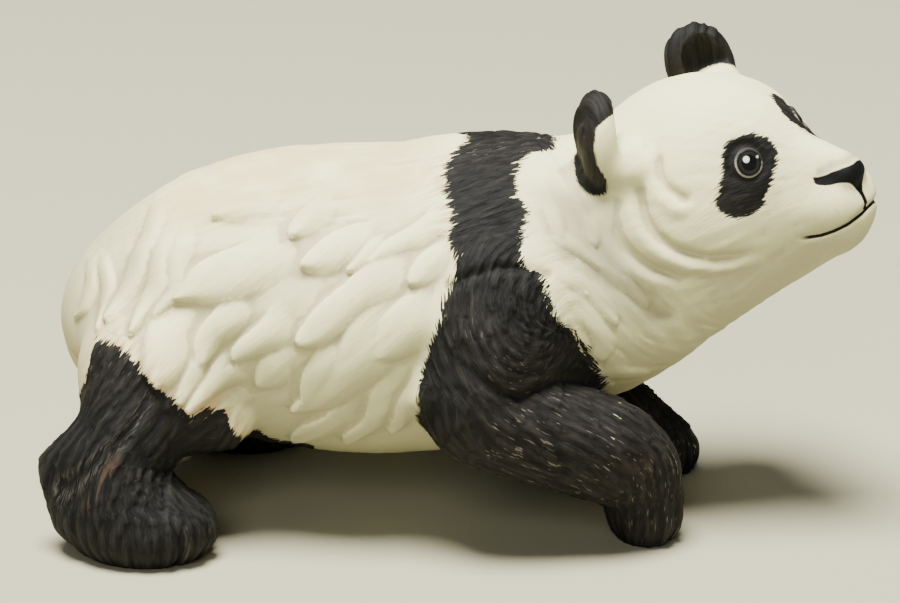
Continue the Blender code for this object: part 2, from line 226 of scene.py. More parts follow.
def clayField(points):
    # smooth union: min(a, b) - (max(m - |a-b|, 0)/m)^2 m/4, one lump after another, cut flat at the floor
    field = None
    for lump in lumps:
        other, melt = lumpGap(lump, points), lump["melt"]
        if lump["scoop"]:
            other = np.maximum(other, -lumpGap(lump["scoop"], points))
        if field is None:
            field = other
            continue
        overlap = np.maximum(melt - np.abs(field - other), 0) / melt
        field = np.minimum(field, other) - overlap**2 * melt / 4
    return np.maximum(field, -points[:, 2])


def claySlope(points, step=0.05):
    # gradient from the four corners of a small tetrahedron: sum(c f(p + c h)) / 4h
    corners = np.array([(1, -1, -1), (-1, -1, 1), (-1, 1, -1), (1, 1, 1)], float)
    return sum(c * clayField(points + c * step)[:, None] for c in corners) / (4 * step)


def ballGrid(rows=20, columns=32):
    # unit ball: (cos a cos b, cos a sin b, sin a), one point at each pole, quads between the rows
    a = np.linspace(-math.pi / 2, math.pi / 2, rows + 2)[1:-1, None]
    b = np.linspace(0, 2 * math.pi, columns, endpoint=False)[None, :]
    ring = np.stack([np.cos(a) * np.cos(b), np.cos(a) * np.sin(b), np.sin(a) + 0 * b], axis=-1)
    points = np.vstack([ring.reshape(-1, 3), (0, 0, -1), (0, 0, 1)])
    i, j = np.meshgrid(np.arange(rows - 1), np.arange(columns), indexing="ij")
    k = (j + 1) % columns
    corners = [i * columns + j, i * columns + k, (i + 1) * columns + k, (i + 1) * columns + j]
    quads = np.stack(corners, axis=-1)
    low, top, last = rows * columns, rows * columns + 1, (rows - 1) * columns
    around = np.arange(columns)
    after = (around + 1) % columns
    caps = [np.stack([0 * around + low, after, around], axis=-1)]
    caps.append(np.stack([0 * around + top, last + around, last + after], axis=-1))
    return points, quads.reshape(-1, 4).tolist() + np.vstack(caps).tolist()


def meshOf(name, points, faces):
    # a mesh from points and lists of their numbers
    mesh = bpy.data.meshes.new(name)
    mesh.from_pydata(points.tolist(), [], faces)
    return mesh


def looseClay():
    # every egg is a stretched ball, every limb a row of balls along its path
    ball, ballFaces = ballGrid()
    points, faces = [], []
    for lump in lumps:
        if "path" in lump:
            size = lump["path"][:, 3, None, None] * np.array([1, lump["widen"], 1])
            sets = lump["path"][:, None, :3] + ball[None] * size
        else:
            matrix = np.array(lump["matrix"])
            sets = ((ball * lump["radii"]) @ matrix[:3, :3].T + matrix[:3, 3])[None]
        for one in sets:
            start = sum(len(p) for p in points)
            points.append(one)
            faces.extend([[start + i for i in face] for face in ballFaces])
    return meshOf("clay", np.vstack(points), faces)


def modified(mesh, kind, **settings):
    # the mesh after one modifier
    thing = bpy.data.objects.new("clay", mesh)
    bpy.context.scene.collection.objects.link(thing)
    change = thing.modifiers.new("change", kind)
    for name, value in settings.items():
        setattr(change, name, value)
    made = bpy.data.meshes.new_from_object(thing.evaluated_get(bpy.context.evaluated_depsgraph_get()))
    bpy.data.objects.remove(thing)
    bpy.data.meshes.remove(mesh)
    return made


def pointsOf(mesh):
    # the mesh's points as rows of x, y and z
    found = np.empty(len(mesh.vertices) * 3, np.float32)
    mesh.vertices.foreach_get("co", found)
    return found.reshape(-1, 3).astype(float)


def normalsOf(mesh):
    # its normals, in the same order
    found = np.empty(len(mesh.vertices) * 3, np.float32)
    mesh.vertex_normals.foreach_get("vector", found)
    return found.reshape(-1, 3).astype(float)


def placed(mesh, points):
    # the mesh with its points moved there
    mesh.vertices.foreach_set("co", points.astype(np.float32).ravel())
    mesh.update()


def drawnOn(mesh, rounds):
    # each point slides along the mesh normal by the field's value, until the field is zero
    for _ in range(rounds):
        points = pointsOf(mesh)
        placed(mesh, points - normalsOf(mesh) * np.clip(clayField(points), -2, 2)[:, None])


shapeTrunk()
shapeLegs()
shapeHead()
skin = modified(looseClay(), "REMESH", mode="VOXEL", voxel_size=body["coarseVoxel"])
drawnOn(skin, 2)
skin = modified(skin, "REMESH", mode="VOXEL", voxel_size=body["fineVoxel"])
drawnOn(skin, 2)
print("clay body:", len(skin.vertices), "points")


# Where things are on the body
def smooth(low, high, value):
    # 3r^2 - 2r^3 with r the share of the way from low to high, which may also run downwards
    share = np.clip((value - low) / (high - low), 0, 1)
    return share * share * (3 - 2 * share)


def unrolled(points):
    # along the body, and down from the spine round either side
    return points[:, 0], 35 * np.arctan2(np.abs(points[:, 1]) / 1.1, points[:, 2] - 48)


def inHead(points):
    # the points in the level head's frame, as x, y and z
    return (points @ level[:3, :3].T + level[:3, 3]).T


def fromSkull(x, y, z):
    # distance from the middle of a ball round the skull, a little wider than long
    return np.sqrt((x - 5) ** 2 + (y / 1.05) ** 2 + (z + 2) ** 2)


def eggShare(gaps, radii):
    # |p/r|: 1 on an ellipsoid and less inside it
    return np.sqrt(sum((gap / radius) ** 2 for gap, radius in zip(gaps, radii)))


def leaned(along, across, degrees):
    # fur that leans from one direction to the other: (u cos a + v sin a, v cos a - u sin a)
    a = math.radians(degrees)
    return along * math.cos(a) + across * math.sin(a), across * math.cos(a) - along * math.sin(a)


def pathRun(points, path):
    # on a smooth line: the gap, how far along the nearest place is, and how far round it from the body's side
    path = smoothPath(np.array(path, float))
    inner = np.array([0, -np.sign(path[:, 1].mean()), 0])
    best = np.full(len(points), np.inf)
    along, around, travelled = np.zeros(len(points)), np.zeros(len(points)), 0.0
    for a, b in zip(path, path[1:]):
        run = b - a
        length = np.linalg.norm(run)
        run = run / length
        share = np.clip((points - a) @ run, 0, length)
        offset = points - a - share[:, None] * run
        gap = np.linalg.norm(offset, axis=1)
        across = -inner + run * (run @ inner)
        across /= np.linalg.norm(across)
        turn = np.arctan2(offset @ np.cross(run, across), offset @ across)
        closer = gap < best
        best = np.where(closer, gap, best)
        along = np.where(closer, travelled + (points - a) @ run, along)
        around = np.where(closer, turn * fur["limbRadius"], around)
        travelled += length
    return best, along, around


# The fur: how it lies on each part, and how deep it is cut.
fur = {
    "lockRise": 1.6,           # the solid's own locks, cut a little deeper
    "neckRise": 0.7,
    "rumpCalm": 0.8,           # the share of the sway that the long rump locks lose
    "farShift": (4.0, 3.0),    # the left side carries the same locks, moved
    "limbRise": 0.4,
    "tuftRise": 0.42,
    "strandRise": 0.24,
    "paleStrand": 0.11,
    # the strands of the pale coat, as a share of paleStrand
    "paleShare": {"back": 2.6, "rump": 1.6, "neck": 1.8, "flank": 0.8, "head": 1.8},
    "puff": 0.5,
    # each foot: its middle, its heading and how far out its toe grooves start
    "feet": [
        ((-65.8, -36.5), -12, 8.5), ((-47.5, 36), 8, 8.0),
        ((42.5, -26.5), 5, 4.0), ((48.5, 17), 0, 4.0),
    ],
    "toes": (-42, -14, 14, 42),     # the grooves between them, in degrees from the foot's heading
    "limbRadius": 10.5,             # what turns an angle round a limb into mm
    "armReach": (14.5, 58, 70),     # how thick the fur's limb is, and where on the flank it fades in
    "legReach": (17.5, 50, 60),
    "lean": {"limb": 14, "neck": 59, "band": 22, "back": 10, "flank": 42},
    "swirl": (23.0, 51.0),     # along, down: what the shoulder's fur turns round
    "rightArm": [(8, -30, 44), (6, -34.5, 33.5), (18, -35, 27.8), (32, -31.5, 22.8), (41, -28.5, 16.5),
                 (44.6, -27, 0)],
    "leftArm": [(12, 28, 42), (15, 30, 29), (28, 24, 18.5), (42, 19, 12), (50, 17, 0)],
    "rightLeg": [(-60, -22, 52), (-67, -28, 34), (-73, -33, 20), (-69, -36, 8), (-52, -38, 2)],
    "leftLeg": [(-48, 22, 52), (-53, 27, 32), (-59, 33, 16), (-54, 36, 6), (-36, 37, 2)],
}


def hashed(i, j, seed):
    # a number from 0 to 1 for each cell: the fraction of sin(127.1 i + 311.7 j + 74.7 seed) 43758.5
    found = np.sin(i * 127.1 + j * 311.7 + seed * 74.7) * 43758.5453
    return found - np.floor(found)


def strands(u, v, seed):
    # smooth noise between hashed cell corners, 0 to 1
    i, j = np.floor(u), np.floor(v)
    fu, fv = u - i, v - j
    fu, fv = fu * fu * (3 - 2 * fu), fv * fv * (3 - 2 * fv)
    low = hashed(i, j, seed) * (1 - fu) + hashed(i + 1, j, seed) * fu
    high = hashed(i, j + 1, seed) * (1 - fu) + hashed(i + 1, j + 1, seed) * fu
    return low * (1 - fv) + high * fv


def tufts(u, v, seed):
    # small pointed locks, one in each cell and moved at random: each swells to its tip over the next
    height = np.zeros(len(u))
    for di in (-1, 0, 1):
        for dj in (-1, 0, 1):
            i, j = np.floor(u) + di, np.floor(v) + dj
            run = u - i - 0.9 * hashed(i, j, seed)
            sway = v - j - 0.2 - 0.6 * hashed(i, j, seed + 1)
            share = np.clip(run / 1.5, 0, 1)
            sway = sway - (hashed(i, j, seed + 2) - 0.5) * share**2
            half = 0.75 * (share + 0.1) ** 0.4 * (1 - share) ** 0.55
            top = np.sqrt(np.maximum(1 - (sway / np.maximum(half, 0.01)) ** 2, 0))
            height = np.maximum(height, np.where((run > 0) & (run < 1.5), top * smooth(-0.1, 0.7, share), 0))
    return height


def lies(points):
    # for each part of the coat: along the fur, across it, and how much that part counts here
    s, t = unrolled(points)
    x, y, z = inHead(points)
    found, weights = {}, {}
    onFeet = np.zeros(len(points))
    for k, ((fx, fy), _, start) in enumerate(fur["feet"]):
        dx, dy = points[:, 0] - fx, points[:, 1] - fy
        out = np.hypot(dx, dy)
        found[f"foot{k}"] = (out + 12 - points[:, 2], np.arctan2(dy, dx) * (8 + 0.6 * start))
        weights[f"foot{k}"] = smooth(15, 10, points[:, 2]) * smooth(2.6 * start + 5, 2.2 * start + 2, out)
        onFeet = onFeet + weights[f"foot{k}"]
    for name in ("rightArm", "leftArm", "rightLeg", "leftLeg"):
        gap, along, around = pathRun(points, fur[name])
        found[name] = leaned(along, around, fur["lean"]["limb"])
        side = smooth(-1.5, 1.5, -points[:, 1] if name.startswith("right") else points[:, 1])
        reach, first, last = fur["legReach" if name.endswith("Leg") else "armReach"]
        weights[name] = smooth(reach + 4, reach, gap) * side * smooth(first, last, t)
        weights[name] = weights[name] * (1 - np.clip(onFeet, 0, 1))
    limbs = np.clip(sum(weights.values()), 0, 1)

    cs, ct = fur["swirl"]
    radius, turn = np.hypot(s - cs, t - ct), np.arctan2(t - ct, cs - s)
    found["neck"] = leaned(s, t, fur["lean"]["neck"])
    found["swirl"] = (turn * 20 - radius * 0.5, radius + turn * 6)
    for name in ("band", "back", "flank"):
        found[name] = leaned(-s, t, fur["lean"][name])
    found["rump"] = (-points[:, 2], points[:, 1])
    found["head"] = (np.sqrt((x - 40) ** 2 + y**2 + (z + 4) ** 2), np.arctan2(z + 4, np.abs(y) + 0.01) * 20)

    onHead = smooth(33, 29, fromSkull(x, y, z)) * smooth(-24, -16, x)
    inSwirl = smooth(33, 26, radius) * smooth(27, 36, t) * smooth(31, 25, s)
    front, top = smooth(-9, -4, s), smooth(34, 20, t)
    neck = smooth(17, 23, s) * (1 - onHead)
    rump = smooth(-68, -78, s) * (1 - limbs)
    free = (1 - limbs) * (1 - rump)
    weights["head"] = onHead
    weights["neck"] = neck * free * (1 - inSwirl)
    weights["swirl"] = inSwirl * free * (1 - onHead)
    weights["band"] = front * (1 - neck) * free * (1 - inSwirl)
    weights["rump"] = rump
    weights["back"] = (1 - front) * top * free
    weights["flank"] = (1 - front) * (1 - top) * free
    total = sum(weights.values()) + 1e-6
    return {name: (*found[name], weights[name] / total) for name in found}


# The coat's paint, in mm. The band and the leg's edge are on the unrolled flank, the face on the level head.
paint = {
    "bandBack": [
        (0, 4.5), (3, 3), (12, -1), (22, -1), (26, 1), (31, -1), (34, 1), (38, 1), (44, -1), (49, -2.5),
        (60, -6), (66, -7.2), (74, -4), (80, 0), (110, 3),
    ],
    "bandFront": [
        (0, 23.5), (6, 23), (8, 18), (12, 15), (21, 14), (25, 17), (29, 16), (34, 15), (38, 16), (39, 20),
        (44, 21), (49, 23), (53, 27), (62, 31), (73, 34), (110, 34),
    ],
    "legEdge": [
        (-95, 76), (-84, 73.5), (-81, 72), (-79, 66), (-77.6, 59), (-77, 57), (-74, 56), (-69, 58), (-67, 60),
        (-64, 63), (-58, 68), (-56, 70), (-49, 72), (-47, 77), (-44, 81), (-40, 90),
    ],
    "whiteTail": ((-85, 0, 43), (1, 1.5, 1.5), 12.2),     # its middle, its stretch and its size
    "ankle": [(-72, -44, 25), (-75, -45, 19), (-78, -46, 14)],
    "wrist": [(36, -40, 24), (42, -38, 20)],
    "earHook": [(-9, 0.4), (-5, -2.2), (-1.2, -3.0), (3.2, -2.2), (5.2, 0.2), (7.0, 4.0)],
    "farLegShift": 11.0,
    "armBlack": {"rightArm": 13.5, "leftArm": 12.5},      # how far from the arm's middle the black reaches
    "eyePatch": ((12.8, 7.2), (18.0, -0.9), 4.3),
    "farPatch": ((4.6, 9.8), (6.2, 6.0), (10.4, -1.0), 4.6),
    "eyeSpot": (19.9, 13.9, 5.5),
    "farEyeShift": (-7.0, 1.4),
    "noseTurn": 2.3,           # the nose points a little to the right
    "nosePad": [
        (0, -1.6), (2.0, -1.5), (3.8, -2.0), (4.7, -2.0), (5.3, -1.6), (5.7, -2.3), (5.5, -3.5),
        (4.8, -4.2), (3.5, -4.3), (2.2, -5.0), (1.2, -6.6), (0.45, -8.4), (0, -11.4),
    ],
    "mouth": [
        (38.6, -11.6), (37.2, -12.7), (34.9, -13.7), (31.7, -14.4), (29.1, -14.7), (26.6, -14.4),
        (24.0, -13.8),
    ],
}


def nearLine(x, y, line):
    # distance in a plane from a line of straight pieces
    least = np.full(len(x), np.inf)
    for (x0, y0), (x1, y1) in zip(line, line[1:]):
        run, rise = x1 - x0, y1 - y0
        share = np.clip(((x - x0) * run + (y - y0) * rise) / (run**2 + rise**2), 0, 1)
        least = np.minimum(least, np.hypot(x - x0 - share * run, y - y0 - share * rise))
    return least


def insideOf(x, y, line):
    # even-odd rule for a closed line
    found = np.zeros(len(x), bool)
    for (x0, y0), (x1, y1) in zip(line, line[1:] + line[:1]):
        crosses = (y0 > y) != (y1 > y)
        rise = y1 - y0 if y1 != y0 else 1e-9
        found ^= crosses & (x < x0 + (y - y0) * (x1 - x0) / rise)
    return found


def limbReach(points, name, reach):
    # how far inside a limb's fur each point is
    return reach - pathRun(points, fur[name])[0]


def earPaint(points, side):
    # black on the ear's own egg, but on its outer wall only behind a hooked line, and not on the tuft
    place = np.array(earFrame(side).inverted())
    ex, ey, ez = (points @ place[:3, :3].T + place[:3, 3]).T
    out, up = body["earMiddle"]
    ahead, radii = body["ears"][side]
    (tuftX, tuftY, tuftZ), tuftRadii = body["earTuft"]
    ey = ey * side - out
    whole = 1 - (eggShare((ex - ahead, ey, ez - up), radii) - 1) * 6
    clear = (eggShare((ex - tuftX, ey + out - tuftY, ez - tuftZ), tuftRadii) - 1) * 6 - 0.6
    if side > 0:
        return np.minimum(np.minimum(whole, 6.5 - ex), clear)
    hook = np.interp(ez, *zip(*paint["earHook"])) - ex
    cup = np.minimum(5.4 - np.hypot(ey, (ez - 1.8) * 0.8), 3.0 - ex)
    cup = np.minimum(cup, ex + 3)
    return np.minimum(np.minimum(whole, np.maximum(hook, cup)), clear)


def coatOf(points):
    # signed distance to the coat's edge, above zero in the black, and how ragged the edge is
    s, t = unrolled(points)
    x, y, z = inHead(points)
    right = points[:, 1] < 0
    nowhere = -9
    back, front = (np.interp(t, *zip(*paint[name])) for name in ("bandBack", "bandFront"))
    black = np.minimum(s - back, front - s)
    for name, reach in paint["armBlack"].items():
        black = np.maximum(black, np.where(t > 60, limbReach(points, name, reach), nowhere))
    leg = t - np.interp(s - np.where(right, 0, paint["farLegShift"]), *zip(*paint["legEdge"]))
    middle, stretch, size = paint["whiteTail"]
    tail = size - eggShare((points - middle).T, stretch)
    leg = np.minimum(np.minimum(leg, np.abs(points[:, 1]) - 7), -tail)
    black = np.maximum(black, np.where(s < -30, leg, nowhere))
    black = np.where((fromSkull(x, y, z) < 34) & (s > 34), nowhere, black)
    ragged = 1 - 0.75 * smooth(46, 56, t) * smooth(-24, -14, s) * (s < 8)
    for side in (-1, 1):
        ear = earPaint(points, side)
        black = np.maximum(black, ear)
        ragged = np.where(ear > -3, 0.04, ragged)
        *line, size = paint["eyePatch" if side < 0 else "farPatch"]
        patch = np.where(x > 6, size - nearLine(y * side, z, line), nowhere)
        black = np.maximum(black, patch)
        ragged = np.where(patch > -2, 0.2, ragged)
    return black, ragged


def noseOf(points):
    # signed distance to the nose pad's outline, above zero inside, with the groove that runs down from it
    x, y, z = inHead(points)
    aside = np.abs(y + paint["noseTurn"])
    gap = nearLine(aside, z, paint["nosePad"])
    found = np.where(insideOf(aside, z, paint["nosePad"]), gap, -gap)
    groove = np.interp(z, [-12, -8, -6], [0.5, 0.55, 1.0]) - aside
    found = np.where((z < -6) & (z > -12.4), np.maximum(found, groove), found)
    return np.where(x > 29.5, found, -9)


def mouthOf(points):
    # above the mouth line is positive, and how much of it shows, which fades at its ends
    x, y, z = inHead(points)
    shown = smooth(25.2, 26.6, x) * ((x > 23) & (np.abs(y) < 15))
    return z - np.interp(x, *zip(*sorted(paint["mouth"]))), shown


def wavered(s, t):
    # a slow sway of two sines each way, so that no two locks run quite alike, and little of it on the rump
    much = 1 - fur["rumpCalm"] * smooth(-56, -68, s)
    swayed = s + much * (1.4 * np.sin(t / 5.3 + s / 17) + 0.7 * np.sin(t / 2.7 - s / 8))
    return swayed, t + much * (1.2 * np.sin(s / 6.1 - t / 19) + 0.6 * np.sin(s / 3.3 + t / 7))


def lock(along, down, shape, height):
    # a flame: half width = w/2 * 1.9 (r+0.12)^0.4 (1-r)^0.5, domed across, swelling from its root, its lower
    # side crisp and its upper side running out softly
    s0, t0, s1, t1, width = shape
    length = math.hypot(s1 - s0, t1 - t0)
    run = ((along - s0) * (s1 - s0) + (down - t0) * (t1 - t0)) / length**2
    across = ((along - s0) * (t1 - t0) - (down - t0) * (s1 - s0)) / length
    share = np.clip(run, 0, 1)
    across = across - 0.08 * length * 4 * share * (1 - share)
    half = width / 2 * 1.9 * (share + 0.12) ** 0.4 * (1 - share) ** 0.5
    side = across / np.maximum(half, 0.01)
    dome = np.maximum(1 - side**2, 0) ** np.where(side < 0, 0.5, 1.8)
    return np.where((run > -0.1) & (run < 1), height * dome * smooth(-0.1, 0.5, run), 0)


# Locks: along and down at the root, the same at the tip, and the width
flankLocks = [
    (-81, 13, -83, 57, 3.6), (-79, 17, -77, 55, 3.6), (-64, 5, -75, 52, 6.5), (-61, 17, -69, 54, 6.5),
    (-57, 22, -64, 50, 6.0), (-36, 30, -61, 46, 11.8), (-36, 18, -50, 24, 6.8), (-25, 22, -35, 30, 6.8),
    (-17, 30, -34, 37, 7.7), (-14, 32, -23, 39, 5.4), (-2, 24, -18, 38, 6.8), (-6, 32, -32, 53, 11.8),
    (0, 30, -8, 42, 6.3), (-1, 42, -17, 58, 9.9), (-10, 42, -36, 72, 10.8), (-23, 50, -34, 69, 7.7),
    (-34, 46, -45, 61, 7.7), (-33, 53, -43, 67, 5.0), (-42, 58, -57, 69, 7.7), (-58, 48, -63, 64, 12.7),
    (-52, 56, -58, 67, 5.4), (-46, 43, -53, 61, 9.0), (-23, 68, -34, 87, 6.8), (-14, 64, -21, 82, 6.8),
    (-7, 60, -12, 79, 6.8),
]
neckLocks = [
    (28, 22, 34, 32, 3.4), (23, 29, 33, 37, 4.0), (30, 33, 42, 47, 4.4),
    (22, 38, 36, 52, 4.8), (26, 43, 35, 65, 6.6), (19, 22, 26, 31, 4.0),
]
limbLocks = [
    (10, 40, 0, 54, 5), (14, 40, 6, 54, 5), (5, 50, 12, 61, 5.4), (10, 54, 24, 66, 5.4), (5, 62, 14, 72, 5.4),
    (12, 63, 23, 73, 5), (23, 66, 36, 78, 5.4), (32, 68, 44, 79, 5.4), (-71, 59, -77, 71, 4.5),
    (-58, 69, -65, 77, 5), (-52, 73, -61, 80, 5),
]
# On the right side: the line along and down, its depth and its width
creases = {
    "shoulder": ([(0, 42), (3, 40), (10, 38), (16, 38), (21, 39)], 0.8, 1.1),
    "elbow": ([(3, 57), (10, 61), (19, 66), (23, 71), (25, 75)], 0.8, 1.1),
    "neck": ([(26, 13), (27.5, 20), (30, 26), (33, 32), (37, 38), (42, 44), (46, 50)], 1.7, 3.2),
    "hock": ([(-64, 65), (-69, 70.5), (-77.5, 75), (-85, 81)], 0.6, 0.9),
}
# Arcs on the head seen from the side: middle, radius, first and last angle, and depth
cheekRolls = [
    ((18.5, 5.5), 19.0, 172, 268, 1.1), ((18.5, 5.5), 24.5, 178, 238, 1.1),
    ((14.0, 12.0), 10.8, 172, 250, 0.9),
]
eyeRings = [(18.3, -13, 5.3), (19.5, 6.9, 6.8)]


def bump(gap, width):
    # 1 in the middle and less to either side: exp(-(gap / width)^2)
    return np.exp(-((gap / width) ** 2))


def toesOf(points, foot):
    # where a foot's toes are, and the way round it from each groove between them: angle times radius
    (fx, fy), heading, start = foot
    dx, dy = points[:, 0] - fx, points[:, 1] - fy
    out = np.hypot(dx, dy)
    bearing = np.degrees(np.arctan2(dy, dx)) - heading
    onToes = smooth(start, start + 2, out) * (out < 24)
    return onToes, [np.radians(bearing - toe) * out for toe in fur["toes"]]


def carving(points):
    # the locks, rolls and creases of the solid, with the face and the toes cut crisper
    s, t = unrolled(points)
    swayed, sunk = wavered(s, t)
    right = points[:, 1] < 0
    locks, cut = np.zeros(len(points)), np.zeros(len(points))
    for shape in flankLocks:
        size = fur["lockRise"] * min(shape[4] / 7, 1.15)
        near = lock(swayed, sunk, shape, size)
        far = lock(swayed - fur["farShift"][0], sunk - fur["farShift"][1], shape, size)
        locks = np.maximum(locks, np.where(right, near, far))
    for shape in neckLocks:
        locks = np.maximum(locks, lock(swayed, sunk, shape, fur["neckRise"]))
    for shape in limbLocks:
        locks = np.maximum(locks, lock(s, t, shape, fur["limbRise"]))
    for line, depth, width in creases.values():
        cut += np.where(right, depth * bump(nearLine(s, t, line), width), 0)

    # cheek rolls, each with a swelling beside it, and the eyes' rims
    x, y, z = inHead(points)
    beside = np.clip((np.abs(y) - 8) / 5, 0, 1)
    for (cx, cz), radius, first, last, depth in cheekRolls:
        gap = np.hypot(x - cx, z - cz) - radius
        angle = np.degrees(np.arctan2(z - cz, x - cx)) % 360
        fade = np.clip((angle - first) / 14, 0, 1) * np.clip((last - angle) / 14, 0, 1) * beside
        cut += fade * depth * (bump(gap, 1.1) - 0.8 * bump(gap - 2.6, 1.6))
    for middle in eyeRings:
        gap = np.linalg.norm(np.stack([x, y, z], axis=1) - middle, axis=1)
        cut += 0.5 * bump(gap - 4.4, 0.7) - 0.22 * bump(gap - 3.4, 0.45)

    # the mouth, the groove under the nose, the nostrils and the toes
    aside = y + paint["noseTurn"]
    cut += 0.7 * smooth(24, 27, x) * bump(nearLine(x, z, paint["mouth"]), 0.6)
    cut += 0.35 * smooth(35, 36.5, x) * bump(aside, 0.5) * smooth(-12, -10, z) * smooth(-5, -7, z)
    cut += 0.45 * smooth(30, 32, x) * bump(np.hypot(np.abs(aside) - 5.6, z + 2.2), 1.0)
    for foot in fur["feet"]:
        onToes, gaps = toesOf(points, foot)
        low = onToes * smooth(11, 7, points[:, 2])
        for gap in gaps:
            cut += 0.9 * low * bump(gap, 0.9)
    return locks - cut


def furRelief(points, dark):
    # tufts and strands along the fur: deep in the black coat, faint in the pale one
    tuft, fine, pale, puff = (np.zeros(len(points)) for _ in range(4))
    for seed, (name, (u, v, weight)) in enumerate(lies(points).items()):
        used = weight > 0.01
        if not used.any():
            continue
        u, v, weight = u[used], v[used], weight[used]
        v = v + 1.2 * strands(u / 9, v / 6, seed)
        share = fur["paleShare"].get(name, 1)
        tuft[used] += weight * tufts(u / 6.5, v / 2.3, seed * 5)
        fine[used] += weight * (strands(u / 5, v / 0.95, seed + 40) - 0.5)
        pale[used] += weight * share * (strands(u / 9, v / 1.1, seed + 60) - 0.5)
        puff[used] += weight * (strands(u / 13, v / 7, seed + 80) - 0.5)
    ridge = fur["tuftRise"] * (tuft - 0.5) + fur["strandRise"] * fine * 2
    soft = fur["paleStrand"] * pale * 2 + fur["puff"] * puff
    return ridge * dark + soft * (1 - dark)


def sculpted(mesh):
    # each point moves along the field's gradient by the carving and the fur, and then the mesh is thinned
    points = pointsOf(mesh)
    slope = claySlope(points)
    slope /= np.linalg.norm(slope, axis=1, keepdims=True)
    x, y, z = inHead(points)
    onFace = smooth(4, 9, x) * smooth(30, 27, np.sqrt((x - 8) ** 2 + y**2 + (z + 3) ** 2) - 4)
    dark = smooth(-0.6, 1.6, coatOf(points)[0]) * (1 - 0.8 * onFace)
    calm = 1 - 0.75 * smooth(24, 30, x) * (np.abs(y) < 14)
    grounded = smooth(0.0, 1.5, points[:, 2])
    points = points + slope * (carving(points) + furRelief(points, dark) * calm * grounded)[:, None]
    points[:, 2] = np.maximum(points[:, 2], 0)
    placed(mesh, points)
    mesh.calc_loop_triangles()
    if len(mesh.loop_triangles) > body["triangles"]:
        mesh = modified(mesh, "DECIMATE", ratio=body["triangles"] / len(mesh.loop_triangles))
    points = pointsOf(mesh)
    points[points[:, 2] < body["press"], 2] = 0
    placed(mesh, points)
    return mesh


skin = sculpted(skin)
skin.calc_loop_triangles()
print("carved:", len(skin.loop_triangles), "triangles")


# What the paint reads from the mesh
def evened(mesh, values, rounds):
    # each point takes 0.4 of its own value and 0.6 of its neighbours' mean, a number of times over
    edges = np.empty(len(mesh.edges) * 2, np.int32)
    mesh.edges.foreach_get("vertices", edges)
    a, b = edges.reshape(-1, 2).T
    count = np.bincount(np.r_[a, b], minlength=len(values)).astype(float)
    for _ in range(rounds):
        near = np.bincount(a, values[b], len(values)) + np.bincount(b, values[a], len(values))
        values = 0.4 * values + 0.6 * near / count
    return values


def hollowness(mesh, points):
    # how far each point lies under its neighbours, along the normal
    near = np.stack([evened(mesh, points[:, i], 1) for i in range(3)], axis=1)
    return evened(mesh, ((near - points) * normalsOf(mesh)).sum(axis=1) / 0.6, 2)


def stored(mesh, name, values):
    # one number or three for each point
    kind, field = ("FLOAT_VECTOR", "vector") if values.ndim == 2 else ("FLOAT", "value")
    layer = mesh.attributes.new(name, kind, "POINT")
    layer.data.foreach_set(field, values.astype(np.float32).ravel())


def combed(mesh, points):
    # a UV map along and across the fur: each face takes the part of the coat that counts most at its middle
    corner = np.empty(len(mesh.loops), np.int32)
    mesh.loops.foreach_get("vertex_index", corner)
    sizes = np.empty(len(mesh.polygons), np.int32)
    mesh.polygons.foreach_get("loop_total", sizes)
    face = np.repeat(np.arange(len(sizes)), sizes)
    parts = lies(points)
    names = list(parts)
    weights = np.stack([np.bincount(face, parts[n][2][corner], len(sizes)) for n in names])
    chosen = weights.argmax(axis=0)[face]
    u, v = np.zeros(len(corner)), np.zeros(len(corner))
    for k, name in enumerate(names):
        here = chosen == k
        u[here] = parts[name][0][corner[here]] + 200 * k
        v[here] = parts[name][1][corner[here]] + 37 * k
    layer = mesh.uv_layers.new(name="combed")
    layer.data.foreach_set("uv", np.stack([u, v], axis=1).astype(np.float32).ravel())


def eyeSpotOf(points):
    # flat places on the nearer eye: to the side, up, and out of it, in mm from its middle
    x, y, z = inHead(points)
    near = y < 0
    side = np.where(near, -1.0, 1.0)
    ex, ey, ez = paint["eyeSpot"]
    inward, raised = paint["farEyeShift"]
    out, across = np.array([0.74, 0.67, 0.05]), np.array([-0.67, 0.74, 0.0])
    out /= np.linalg.norm(out)
    across /= np.linalg.norm(across)
    up = np.cross(out, across)
    gap = [x - ex, y * side - np.where(near, ey, ey + inward), z - np.where(near, ez, ez + raised)]
    gap = np.stack(gap, axis=1)
    return np.stack([gap @ across * side, gap @ up, gap @ out], axis=1)


